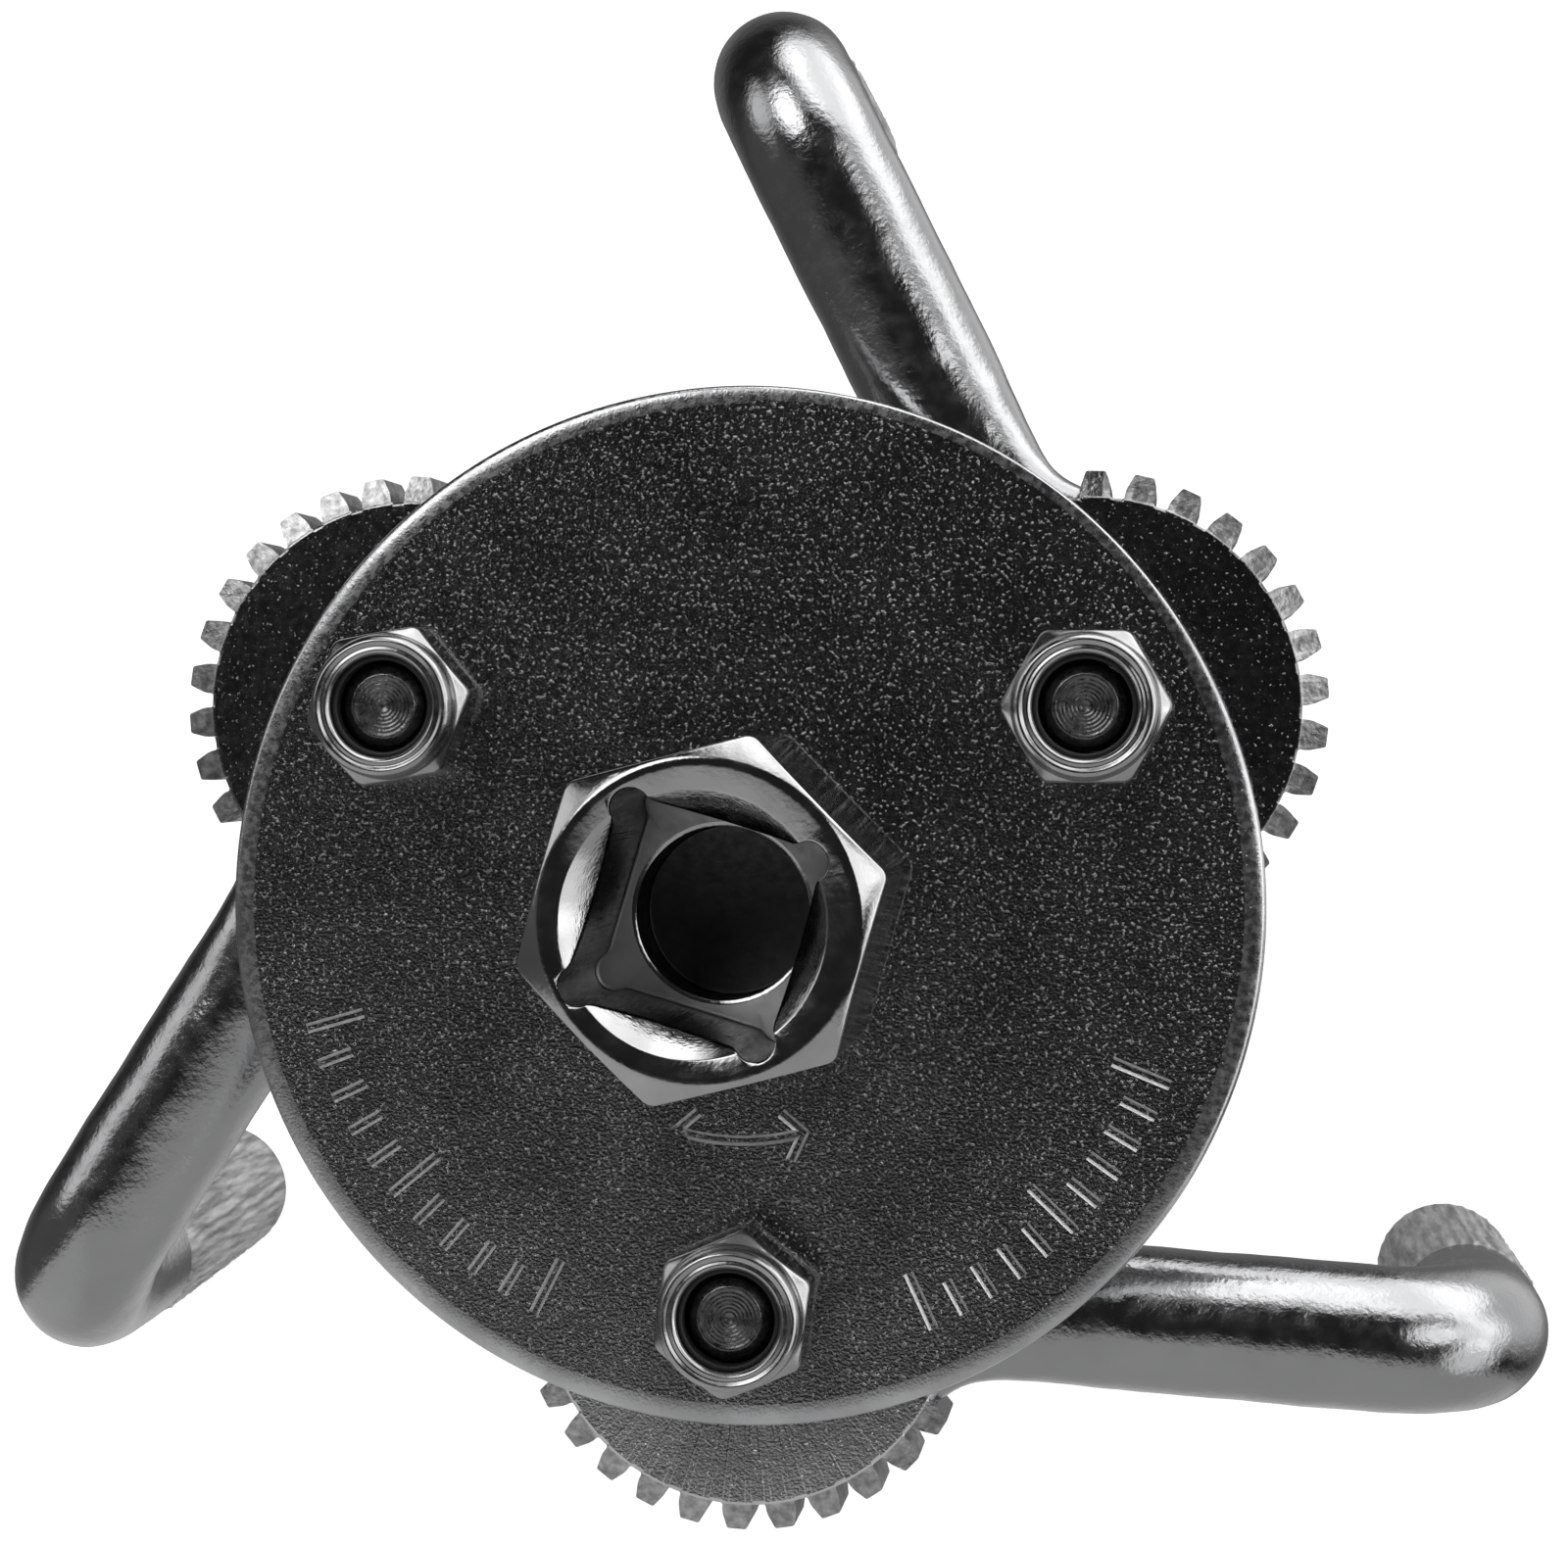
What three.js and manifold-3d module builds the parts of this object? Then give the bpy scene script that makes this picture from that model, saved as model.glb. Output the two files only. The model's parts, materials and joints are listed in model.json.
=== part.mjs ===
// Two-way three-leg oil filter wrench with a 1/2 inch square and 21 mm hexagon drive.
//
// Units are millimetres, +Z is up, towards the drive. The origin is the centre of the drive
// spindle's lower end, the flat face that comes down on the end of the filter.
//
// A sun gear on the spindle turns three toothed leg heads that hang below a round plate, so the
// three legs swing together and close on a filter whichever way the drive is turned.

import * as THREE from "three";
import { mergeVertices } from "three/addons/utils/BufferGeometryUtils.js";
import Module from "manifold-3d";

// ---- Driving dimensions ----------------------------------------------------------------

const GEAR_MODULE = 1;
const SUN_TEETH = 24;
const LEG_TEETH = 30; // teeth of a full circle; the leg takes the place of four of them
const PRESSURE_ANGLE = 14.5;
const ADDENDUM = 0.8; // stub teeth, in modules
const DEDENDUM = 1;
const PROFILE_SHIFT = 0.2; // outwards on the leg heads and inwards on the sun gear, in modules
const TOOTH_RELIEF = 0.16; // taken off each tooth's thickness, so that the mesh runs with play
const TOOTH_GIFT = 0.45; // thickness that each leg tooth gains and each sun tooth gives up
const GEAR_BASE_Z = 4.8;
const GEAR_TOP_Z = 10.8;
const PIVOT_RADIUS = (GEAR_MODULE * (SUN_TEETH + LEG_TEETH)) / 2;
const PIVOT_ANGLES = [30, 150, 270];

const LEG_SWING = 87; // each leg's direction at rest, counted from straight outwards
const FIRST_TOOTH = 28.9; // first tooth's centre, behind the leg's own direction
const LEG_TOOTH_COUNT = 26;
const TOOTH_FACE_DROP = 0.6; // the tooth ends slope down from the head's flat face
const BAR_RADIUS = 5;
const BAR_AXIS_Z = 5.4;
const LEG_REACH = 50.2; // pivot to the farthest point of the bent bar's axis
const BEND_RADIUS = 8; // on the bar's centre line
const FOOT_LEANS = [3, 8, 1]; // how far each foot is bent past square, towards its pivot
const FOOT_DROP = 35; // bar's axis down to the end of a square foot
const KNURL_START = 12; // bar's axis down to the knurl
const KNURL_RADIUS = 5.2;

const PLATE_RADIUS = 35.2;
const PLATE_BASE_Z = 11;
const PLATE_TOP_Z = 14;
const PLATE_EDGE_RADIUS = 1.2;

const DRIVE_HEX = 21; // across flats
const DRIVE_BASE_Z = 14.3;
const DRIVE_TOP_Z = 33;
const DRIVE_HEX_TURN = 14.4;
const DRIVE_FACE_RADIUS = 10.2; // the turned end face, inside the six chamfered corners
const SOCKET_SQUARE = 13.2; // 1/2 inch square drive with its clearance
const SOCKET_TURN = 28.4;
const SOCKET_DEPTH = 13.6;
const SOCKET_EAR_RADIUS = 1.3;
const SOCKET_EAR_REACH = 8.15; // centre of each corner relief
const SOCKET_MOUTH_RADIUS = 9.75;
const SOCKET_THROAT_RADIUS = 8.45; // where the shallow mouth turns into a 45 degree countersink
const SOCKET_MOUTH_DROP = 0.25;
const PILOT_RADIUS = 5.75;
const PILOT_DEPTH = 18.6;
const JOURNAL_RADIUS = 7;
const SHANK_SQUARE = 10; // carries the sun gear
const SHANK_BASE_Z = 4.6;
const TAIL_RADIUS = 4.7;
const GROOVE_RADIUS = 4;
const GROOVE_Z = [2, 3.2];

const BOLT_RADIUS = 3; // M6
const BOLT_POINT_RADIUS = 2.1;
const BOLT_HEX = 10;
const BOLT_HEAD_Z = [0.5, 4.5];
const BOLT_END_Z = 19.1;
const NUT_BASE_Z = PLATE_TOP_Z + 0.3;
const NUT_HEX_HEIGHT = 4.1;
const NUT_HEIGHT = 5.9;
const NUT_COLLAR_RADIUS = 4.6;
const NUT_TURNS = [0, 10, 23]; // where each hexagon stopped when it was tightened

const RUNNING_GAP = 0.08; // radial play of a turning fit, after the facets are allowed for
const FINE = 48; // facets round the drive's turned surfaces
const MEDIUM = 36;
const COARSE = 24;

// ---- Helpers -----------------------------------------------------------------------------

const wasm = await Module();
wasm.setup();

const radians = THREE.MathUtils.degToRad;
const polar = (radius, degrees) =>
  new THREE.Vector2(radius * Math.cos(radians(degrees)), radius * Math.sin(radians(degrees)));

// A closed geometry as a solid that can be joined and cut.
function solid(geometry) {
  const plain = new THREE.BufferGeometry();
  plain.setAttribute("position", geometry.getAttribute("position"));
  if (geometry.index) plain.setIndex(geometry.index);
  const merged = mergeVertices(plain, 1e-4);
  return new wasm.Manifold(
    new wasm.Mesh({
      numProp: 3,
      vertProperties: new Float32Array(merged.attributes.position.array),
      triVerts: new Uint32Array(merged.index.array),
    }),
  );
}

function geometryOf(body) {
  const mesh = body.getMesh();
  const geometry = new THREE.BufferGeometry();
  geometry.setAttribute("position", new THREE.BufferAttribute(mesh.vertProperties, 3));
  geometry.setIndex(new THREE.BufferAttribute(mesh.triVerts, 1));
  geometry.computeVertexNormals();
  return geometry;
}

// A profile of [radius, z] corners turned about Z.
function turned(profile, segments = FINE) {
  const points = profile.map(([radius, z]) => new THREE.Vector2(radius, z));
  return solid(new THREE.LatheGeometry(points, segments).rotateX(Math.PI / 2));
}

const rod = (radius, z0, z1, segments) =>
  turned([[0, z0], [radius, z0], [radius, z1], [0, z1]], segments);

// Radius of a faceted hole that clears a round bar of the given radius all the way round.
const holeRadius = (barRadius, gap, segments) => (barRadius + gap) / Math.cos(Math.PI / segments);

// An outline of 2-D points extruded from z0 to z1.
function prism(points, z0, z1) {
  const flat = new THREE.ExtrudeGeometry(new THREE.Shape(points), {
    depth: z1 - z0,
    bevelEnabled: false,
  });
  return solid(flat.translate(0, 0, z0));
}

function polygon(sides, acrossFlats, turn = 0) {
  const radius = acrossFlats / 2 / Math.cos(Math.PI / sides);
  return Array.from({ length: sides }, (_, i) => polar(radius, turn + (360 * i) / sides));
}

// A hexagon prism whose corners are chamfered by a turned cone at the chosen ends.
function hexPrism(acrossFlats, turn, z0, z1, faceRadius, { bottom = false, top = true } = {}) {
  const cornerRadius = acrossFlats / Math.sqrt(3) + 1;
  const drop = (cornerRadius - faceRadius) * Math.tan(radians(30));
  const envelope = [[0, z0]];
  if (bottom) envelope.push([faceRadius, z0], [cornerRadius, z0 + drop]);
  else envelope.push([cornerRadius, z0]);
  if (top) envelope.push([cornerRadius, z1 - drop], [faceRadius, z1]);
  else envelope.push([cornerRadius, z1]);
  envelope.push([0, z1]);
  return prism(polygon(6, acrossFlats, turn), z0, z1).intersect(turned(envelope));
}

// ---- Gears -------------------------------------------------------------------------------

// The two gears: the sun on the spindle and the heads of the legs.
function gear(teeth, shift, gift) {
  const pitchRadius = (GEAR_MODULE * teeth) / 2;
  return {
    pitchRadius,
    shift,
    gift,
    root: pitchRadius + GEAR_MODULE * (shift - DEDENDUM),
    tip: pitchRadius + GEAR_MODULE * (shift + ADDENDUM),
  };
}
const SUN = gear(SUN_TEETH, -PROFILE_SHIFT, -TOOTH_GIFT);
const HEAD = gear(LEG_TEETH, PROFILE_SHIFT, TOOTH_GIFT);

// How far the head's nearest tooth stands from the line to the sun's centre, in degrees.
const MESH_PHASE = (LEG_SWING - FIRST_TOOTH - 180) % (360 / LEG_TEETH);

// Half the angle that a tooth fills at a radius, in degrees: an involute above the base circle.
function toothHalfAngle({ pitchRadius, shift, gift }, radius) {
  const pressure = radians(PRESSURE_ANGLE);
  const baseRadius = pitchRadius * Math.cos(pressure);
  const involute = (angle) => Math.tan(angle) - angle;
  const here = Math.acos(baseRadius / Math.max(radius, baseRadius));
  const widening = 2 * shift * GEAR_MODULE * Math.tan(pressure) + gift - TOOTH_RELIEF;
  const atPitch = ((Math.PI * GEAR_MODULE) / 2 + widening) / 2 / pitchRadius;
  return THREE.MathUtils.radToDeg(atPitch + involute(pressure) - involute(here));
}

// Outline points of one tooth, counter-clockwise, centred on an angle.
function toothOutline(wheel, centre) {
  const radii = [0, 1 / 3, 2 / 3, 1].map((part) => wheel.root + part * (wheel.tip - wheel.root));
  const rising = radii.map((radius) => polar(radius, centre - toothHalfAngle(wheel, radius)));
  const falling = radii.map((radius) => polar(radius, centre + toothHalfAngle(wheel, radius)));
  return [...rising, ...falling.reverse()];
}

// ---- Materials ---------------------------------------------------------------------------

const metal = (color, roughness, metalness = 1) =>
  new THREE.MeshStandardMaterial({ color, roughness, metalness });

const materials = {
  plate: metal(0x3b3b3e, 0.45),
  leg: metal(0x8b8c90, 0.25),
  drive: metal(0xc4c6ca, 0.1),
  gear: metal(0x6d6e72, 0.4),
  zinc: metal(0xb9bcc0, 0.28),
  bolt: metal(0x5c5d60, 0.45),
  spring: metal(0x2f3033, 0.4),
  nylon: metal(0x111113, 0.6, 0),
};

const wrench = new THREE.Group();

function add(name, body, material, parent = wrench) {
  const mesh = new THREE.Mesh(geometryOf(body), material);
  mesh.name = name;
  parent.add(mesh);
  return mesh;
}

// ---- Plate -------------------------------------------------------------------------------

function topPlate() {
  const edge = [0, 30, 60, 90].map((angle) => {
    const { x, y } = polar(PLATE_EDGE_RADIUS, angle);
    return [PLATE_RADIUS - PLATE_EDGE_RADIUS + x, PLATE_TOP_Z - PLATE_EDGE_RADIUS + y];
  });
  const lowerEdge = [[PLATE_RADIUS - 0.3, PLATE_BASE_Z], [PLATE_RADIUS, PLATE_BASE_Z + 0.3]];
  let plate = turned([[0, PLATE_BASE_Z], ...lowerEdge, ...edge, [0, PLATE_TOP_Z]], 72);
  const journalHole = holeRadius(JOURNAL_RADIUS, RUNNING_GAP, FINE);
  plate = plate.subtract(rod(journalHole, PLATE_BASE_Z - 1, PLATE_TOP_Z + 1, FINE));
  const boltHole = rod(BOLT_RADIUS + 0.3, PLATE_BASE_Z - 1, PLATE_TOP_Z + 1, COARSE);
  for (const angle of PIVOT_ANGLES) {
    const { x, y } = polar(PIVOT_RADIUS, angle);
    plate = plate.subtract(boltHole.translate([x, y, 0]));
  }
  return plate;
}

// ---- Drive: spindle with hexagon and square socket, sun gear, washer and retaining ring -----

function driveSpindle() {
  const hexBody = hexPrism(
    DRIVE_HEX, DRIVE_HEX_TURN, DRIVE_BASE_Z, DRIVE_TOP_Z, DRIVE_FACE_RADIUS,
  );
  const stem = turned([
    [0, 0],
    [TAIL_RADIUS - 0.5, 0],
    [TAIL_RADIUS, 0.5],
    [TAIL_RADIUS, GROOVE_Z[0]],
    [GROOVE_RADIUS, GROOVE_Z[0]],
    [GROOVE_RADIUS, GROOVE_Z[1]],
    [TAIL_RADIUS, GROOVE_Z[1]],
    [TAIL_RADIUS, PLATE_BASE_Z + 0.1],
    [JOURNAL_RADIUS, PLATE_BASE_Z + 0.1],
    [JOURNAL_RADIUS, DRIVE_BASE_Z + 1],
    [0, DRIVE_BASE_Z + 1],
  ]);
  const shank = prism(polygon(4, SHANK_SQUARE, 45), SHANK_BASE_Z, PLATE_BASE_Z + 0.5)
    .intersect(rod(JOURNAL_RADIUS - 0.2, SHANK_BASE_Z - 1, PLATE_BASE_Z + 1));
  return hexBody.add(stem).add(shank).subtract(driveSocket());
}

// The square socket with its relieved corners, countersunk mouth and pilot hole.
function driveSocket() {
  const floor = DRIVE_TOP_Z - SOCKET_DEPTH;
  const above = DRIVE_TOP_Z + 1;
  const throatZ = DRIVE_TOP_Z - SOCKET_MOUTH_DROP;
  const seatZ = throatZ - (SOCKET_THROAT_RADIUS - SOCKET_SQUARE / 2);
  let socket = prism(polygon(4, SOCKET_SQUARE, SOCKET_TURN), floor, above);
  const ear = rod(SOCKET_EAR_RADIUS, floor, above, COARSE);
  for (let corner = 0; corner < 4; corner++) {
    const { x, y } = polar(SOCKET_EAR_REACH, SOCKET_TURN + 90 * corner);
    socket = socket.add(ear.translate([x, y, 0]));
  }
  const mouth = turned([
    [0, seatZ],
    [SOCKET_SQUARE / 2, seatZ],
    [SOCKET_THROAT_RADIUS, throatZ],
    [SOCKET_MOUTH_RADIUS, DRIVE_TOP_Z],
    [SOCKET_MOUTH_RADIUS, above],
    [0, above],
  ]);
  return socket.add(mouth).add(rod(PILOT_RADIUS, DRIVE_TOP_Z - PILOT_DEPTH, above, COARSE));
}

function sunGear() {
  const outline = [];
  const meshedGap = PIVOT_ANGLES[0] - (MESH_PHASE * LEG_TEETH) / SUN_TEETH;
  for (let tooth = 0; tooth < SUN_TEETH; tooth++) {
    outline.push(...toothOutline(SUN, meshedGap + (360 * (tooth + 0.5)) / SUN_TEETH));
  }
  const bore = prism(polygon(4, SHANK_SQUARE + 0.2, 45), GEAR_BASE_Z - 1, GEAR_TOP_Z + 1);
  return prism(outline, GEAR_BASE_Z, GEAR_TOP_Z).subtract(bore);
}

function spindleWasher() {
  return rod(7.5, 3.5, 4.3, COARSE).subtract(rod(TAIL_RADIUS + 0.15, 3, 5, COARSE));
}

// An open spring ring that sits in the spindle's groove.
function retainingRing() {
  const openEnds = 28;
  const inner = [];
  const outer = [];
  for (let step = 0; step <= 24; step++) {
    const angle = openEnds + (step * (360 - 2 * openEnds)) / 24;
    outer.push(polar(6, angle));
    inner.push(polar(GROOVE_RADIUS + 0.15, angle));
  }
  return prism([...outer, ...inner.reverse()], GROOVE_Z[0] + 0.15, GROOVE_Z[1] - 0.15);
}

// ---- Legs --------------------------------------------------------------------------------

// A closed skin through rings of equal point counts, capped flat at both ends.
function loft(rings) {
  const count = rings[0].length;
  const positions = rings.flat().flatMap((point) => point.toArray());
  const index = [];
  for (let ring = 0; ring + 1 < rings.length; ring++) {
    for (let i = 0; i < count; i++) {
      const a = ring * count + i;
      const b = ring * count + ((i + 1) % count);
      index.push(a, b, b + count, a, b + count, a + count);
    }
  }
  const last = (rings.length - 1) * count;
  for (let i = 1; i + 1 < count; i++) {
    index.push(0, i + 1, i);
    index.push(last, last + i, last + i + 1);
  }
  const geometry = new THREE.BufferGeometry();
  geometry.setAttribute("position", new THREE.Float32BufferAttribute(positions, 3));
  geometry.setIndex(index);
  return solid(geometry);
}

// One cross-section of the leg: a superellipse across the direction that the leg runs in.
// pitch is the angle that this direction has turned down from +X.
function legSection({ x, z, halfWidth, halfHeight, squareness = 2, pitch = 0 }) {
  const power = 2 / squareness;
  const bend = radians(pitch);
  return Array.from({ length: 24 }, (_, i) => {
    const angle = (2 * Math.PI * i) / 24;
    const across = Math.sign(Math.cos(angle)) * Math.abs(Math.cos(angle)) ** power * halfWidth;
    const up = Math.sign(Math.sin(angle)) * Math.abs(Math.sin(angle)) ** power * halfHeight;
    return new THREE.Vector3(x + up * Math.sin(bend), across, z + up * Math.cos(bend));
  });
}

// Forged neck: from inside the toothed head out to the round bar.
// Each row is distance from the pivot, half width, lower and upper z, squareness.
const NECK = [
  [9, 8.2, 5.3, 10.4, 4],
  [13, 6.8, 5, 10.4, 4],
  [15, 5.1, 4.2, 10.35, 3.4],
  [17, 4.7, 3, 10.3, 2.8],
  [20, 4.8, 1.5, 10.3, 2.4],
  [24, 4.9, 0.6, 10.35, 2.1],
  [27, BAR_RADIUS, BAR_AXIS_Z - BAR_RADIUS, BAR_AXIS_Z + BAR_RADIUS, 2],
];

function legBar(lean) {
  const round = { halfWidth: BAR_RADIUS, halfHeight: BAR_RADIUS };
  const rings = NECK.map(([x, halfWidth, low, high, squareness]) =>
    legSection({ x, z: (low + high) / 2, halfWidth, halfHeight: (high - low) / 2, squareness }),
  );
  const footPitch = 90 + lean;
  const bend = (pitch) => ({
    x: LEG_REACH - BEND_RADIUS + BEND_RADIUS * Math.sin(radians(pitch)),
    z: BAR_AXIS_Z - BEND_RADIUS + BEND_RADIUS * Math.cos(radians(pitch)),
  });
  for (let step = 0; step <= 6; step++) {
    const pitch = (footPitch * step) / 6;
    rings.push(legSection({ ...bend(pitch), ...round, pitch }));
  }
  const footTop = bend(footPitch);
  const footRing = (drop, radius) => {
    const along = drop - BEND_RADIUS;
    const x = footTop.x - along * Math.sin(radians(lean));
    const z = footTop.z - along * Math.cos(radians(lean));
    return legSection({ x, z, halfWidth: radius, halfHeight: radius, pitch: footPitch });
  };
  rings.push(
    footRing(KNURL_START, BAR_RADIUS),
    footRing(KNURL_START + 0.4, KNURL_RADIUS),
    footRing(FOOT_DROP - 0.6, KNURL_RADIUS),
    footRing(FOOT_DROP, KNURL_RADIUS - 0.6),
  );
  return loft(rings);
}

// The head is a 30-tooth gear with teeth left out where the leg leaves it. The leg runs along +X.
function legHead() {
  const pitch = 360 / LEG_TEETH;
  const lastTooth = -FIRST_TOOTH - pitch * (LEG_TOOTH_COUNT - 1);
  const outline = [];
  for (let tooth = 0; tooth < LEG_TOOTH_COUNT; tooth++) {
    outline.push(...toothOutline(HEAD, lastTooth + pitch * tooth));
  }
  const gapStart = -FIRST_TOOTH + pitch / 2;
  for (let angle = gapStart; angle < 360 + lastTooth - pitch / 4; angle += pitch / 2) {
    outline.push(polar(HEAD.root, angle));
  }
  const crown = turned([
    [0, GEAR_BASE_Z],
    [HEAD.tip, GEAR_BASE_Z],
    [HEAD.tip, GEAR_TOP_Z - TOOTH_FACE_DROP],
    [HEAD.root + 0.1, GEAR_TOP_Z],
    [0, GEAR_TOP_Z],
  ], 60);
  return prism(outline, GEAR_BASE_Z, GEAR_TOP_Z).intersect(crown);
}

function leg(lean) {
  const bore = holeRadius(BOLT_RADIUS, RUNNING_GAP, COARSE);
  return legHead().add(legBar(lean)).subtract(rod(bore, GEAR_BASE_Z - 1, GEAR_TOP_Z + 1, COARSE));
}

// ---- Pivot bolts and lock nuts --------------------------------------------------------------

function pivotBolt() {
  const [headBase, headTop] = BOLT_HEAD_Z;
  const shank = turned([
    [0, headTop - 1],
    [BOLT_RADIUS, headTop - 1],
    [BOLT_RADIUS, BOLT_END_Z - (BOLT_RADIUS - BOLT_POINT_RADIUS)],
    [BOLT_POINT_RADIUS, BOLT_END_Z],
    [0, BOLT_END_Z],
  ], COARSE);
  const head = hexPrism(BOLT_HEX, 0, headBase, headTop, BOLT_HEX / 2 - 0.2, {
    bottom: true, top: false,
  });
  return head.add(shank);
}

// Hexagon with a turned collar whose lip is rolled in over the nylon ring.
function lockNut() {
  const top = NUT_BASE_Z + NUT_HEIGHT;
  const hexTop = NUT_BASE_Z + NUT_HEX_HEIGHT;
  const hexBody = hexPrism(BOLT_HEX, 0, NUT_BASE_Z, hexTop, BOLT_HEX / 2 - 0.1);
  const collar = turned([
    [0, hexTop - 1],
    [NUT_COLLAR_RADIUS, hexTop - 1],
    [NUT_COLLAR_RADIUS, top - 0.7],
    [NUT_COLLAR_RADIUS - 0.25, top - 0.2],
    [NUT_COLLAR_RADIUS - 0.65, top],
    [0, top],
  ], MEDIUM);
  const seat = NUT_BASE_Z + 3.6;
  const thread = BOLT_RADIUS + 0.12;
  const hollow = turned([
    [0, NUT_BASE_Z - 1],
    [thread, NUT_BASE_Z - 1],
    [thread, seat],
    [NUT_COLLAR_RADIUS - 0.7, seat],
    [NUT_COLLAR_RADIUS - 0.7, top - 0.7],
    [NUT_COLLAR_RADIUS - 1.25, top - 0.35],
    [NUT_COLLAR_RADIUS - 1.05, top + 0.1],
    [0, top + 0.1],
  ], MEDIUM);
  return hexBody.add(collar).subtract(hollow);
}

function nylonInsert() {
  const base = NUT_BASE_Z + 3.8;
  return turned([
    [BOLT_RADIUS + 0.1, base],
    [NUT_COLLAR_RADIUS - 0.9, base],
    [NUT_COLLAR_RADIUS - 0.9, base + 1.1],
    [NUT_COLLAR_RADIUS - 1.3, base + 1.3],
    [BOLT_RADIUS + 0.1, base + 1.3],
    [BOLT_RADIUS + 0.1, base],
  ], COARSE);
}

// ---- Assembly ------------------------------------------------------------------------------

add("top_plate", topPlate(), materials.plate);
add("drive_spindle", driveSpindle(), materials.drive);
add("sun_gear", sunGear(), materials.gear);
add("spindle_washer", spindleWasher(), materials.zinc);
add("retaining_ring", retainingRing(), materials.spring);

const boltBody = pivotBolt();
const nutBody = lockNut();
const insertBody = nylonInsert();

PIVOT_ANGLES.forEach((angle, i) => {
  const station = new THREE.Group();
  const { x, y } = polar(PIVOT_RADIUS, angle);
  station.position.set(x, y, 0);
  station.rotation.z = radians(angle);
  wrench.add(station);

  const swing = new THREE.Group();
  swing.rotation.z = radians(LEG_SWING);
  station.add(swing);

  const tightened = new THREE.Group();
  tightened.rotation.z = radians(NUT_TURNS[i] - angle);
  station.add(tightened);

  const number = i + 1;
  add(`leg_${number}`, leg(FOOT_LEANS[i]), materials.leg, swing);
  add(`pivot_bolt_${number}`, boltBody, materials.bolt, station);
  add(`lock_nut_${number}`, nutBody, materials.zinc, tightened);
  add(`nylon_insert_${number}`, insertBody, materials.nylon, tightened);
});

export default wrench;
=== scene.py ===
"""Looks for the two-way oil filter wrench: fine meshes, procedural metals, light and camera.

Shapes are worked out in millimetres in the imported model's frame and turned into metres when a
mesh is made. Every piece replaces one CAD node and rides on that node's body.
"""

import json
import math

import bmesh
import bpy
import numpy as np
from mathutils import Matrix, Vector


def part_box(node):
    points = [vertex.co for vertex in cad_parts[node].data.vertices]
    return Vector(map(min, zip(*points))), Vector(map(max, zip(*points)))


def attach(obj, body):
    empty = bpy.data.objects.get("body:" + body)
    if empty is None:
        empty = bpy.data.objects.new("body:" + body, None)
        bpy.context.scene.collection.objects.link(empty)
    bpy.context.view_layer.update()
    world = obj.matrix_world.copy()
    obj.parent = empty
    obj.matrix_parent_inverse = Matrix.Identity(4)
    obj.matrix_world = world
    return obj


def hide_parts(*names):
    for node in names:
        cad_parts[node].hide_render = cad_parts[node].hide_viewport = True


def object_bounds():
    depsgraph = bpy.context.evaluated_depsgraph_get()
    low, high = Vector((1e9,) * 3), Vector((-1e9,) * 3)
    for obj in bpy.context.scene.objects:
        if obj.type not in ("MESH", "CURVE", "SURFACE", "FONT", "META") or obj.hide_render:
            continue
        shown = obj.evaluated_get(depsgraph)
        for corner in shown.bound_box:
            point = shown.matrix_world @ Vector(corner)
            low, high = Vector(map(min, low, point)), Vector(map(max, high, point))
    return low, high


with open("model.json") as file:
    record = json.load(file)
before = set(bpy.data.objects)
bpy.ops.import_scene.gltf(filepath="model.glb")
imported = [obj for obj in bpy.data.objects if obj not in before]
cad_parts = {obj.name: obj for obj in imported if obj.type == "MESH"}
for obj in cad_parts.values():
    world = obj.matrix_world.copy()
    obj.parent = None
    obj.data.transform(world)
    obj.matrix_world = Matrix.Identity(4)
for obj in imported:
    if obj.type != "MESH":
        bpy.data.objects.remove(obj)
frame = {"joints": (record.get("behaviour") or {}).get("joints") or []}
cad_low, cad_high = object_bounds()

MM = 0.001

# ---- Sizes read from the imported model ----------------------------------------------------


def node_box(name):
    low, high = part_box(name)
    return np.array(low) / MM, np.array(high) / MM


def joint_place(name):
    joint = next(j for j in frame["joints"] if j["name"] == name)
    return np.array(joint["pos_m"]) / MM


PLATE_LOW, PLATE_HIGH = node_box("top_plate")
PLATE_RADIUS = PLATE_HIGH[0]
PLATE_BASE, PLATE_TOP = PLATE_LOW[2], PLATE_HIGH[2]
DRIVE_TOP = node_box("drive_spindle")[1][2]
GEAR_LOW, GEAR_HIGH = node_box("sun_gear")
GEAR_BASE, GEAR_TOP = GEAR_LOW[2], GEAR_HIGH[2]
NUT_LOW, NUT_HIGH = node_box("lock_nut_1")
NUT_BASE, NUT_TOP = NUT_LOW[2], NUT_HIGH[2]
NYLON_LOW, NYLON_HIGH = node_box("nylon_insert_1")
BOLT_LOW, BOLT_HIGH = node_box("pivot_bolt_1")
WASHER_LOW, WASHER_HIGH = node_box("spindle_washer")
RING_LOW, RING_HIGH = node_box("retaining_ring")
PIVOTS = [joint_place(f"{word}_leg_swing") for word in ("first", "second", "third")]
LEG_BODIES = ["first_leg", "second_leg", "third_leg"]
PIVOT_ANGLES = [math.degrees(math.atan2(p[1], p[0])) for p in PIVOTS]

# ---- Sizes that repeat the CAD model's: millimetres and degrees --------------------------

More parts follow.
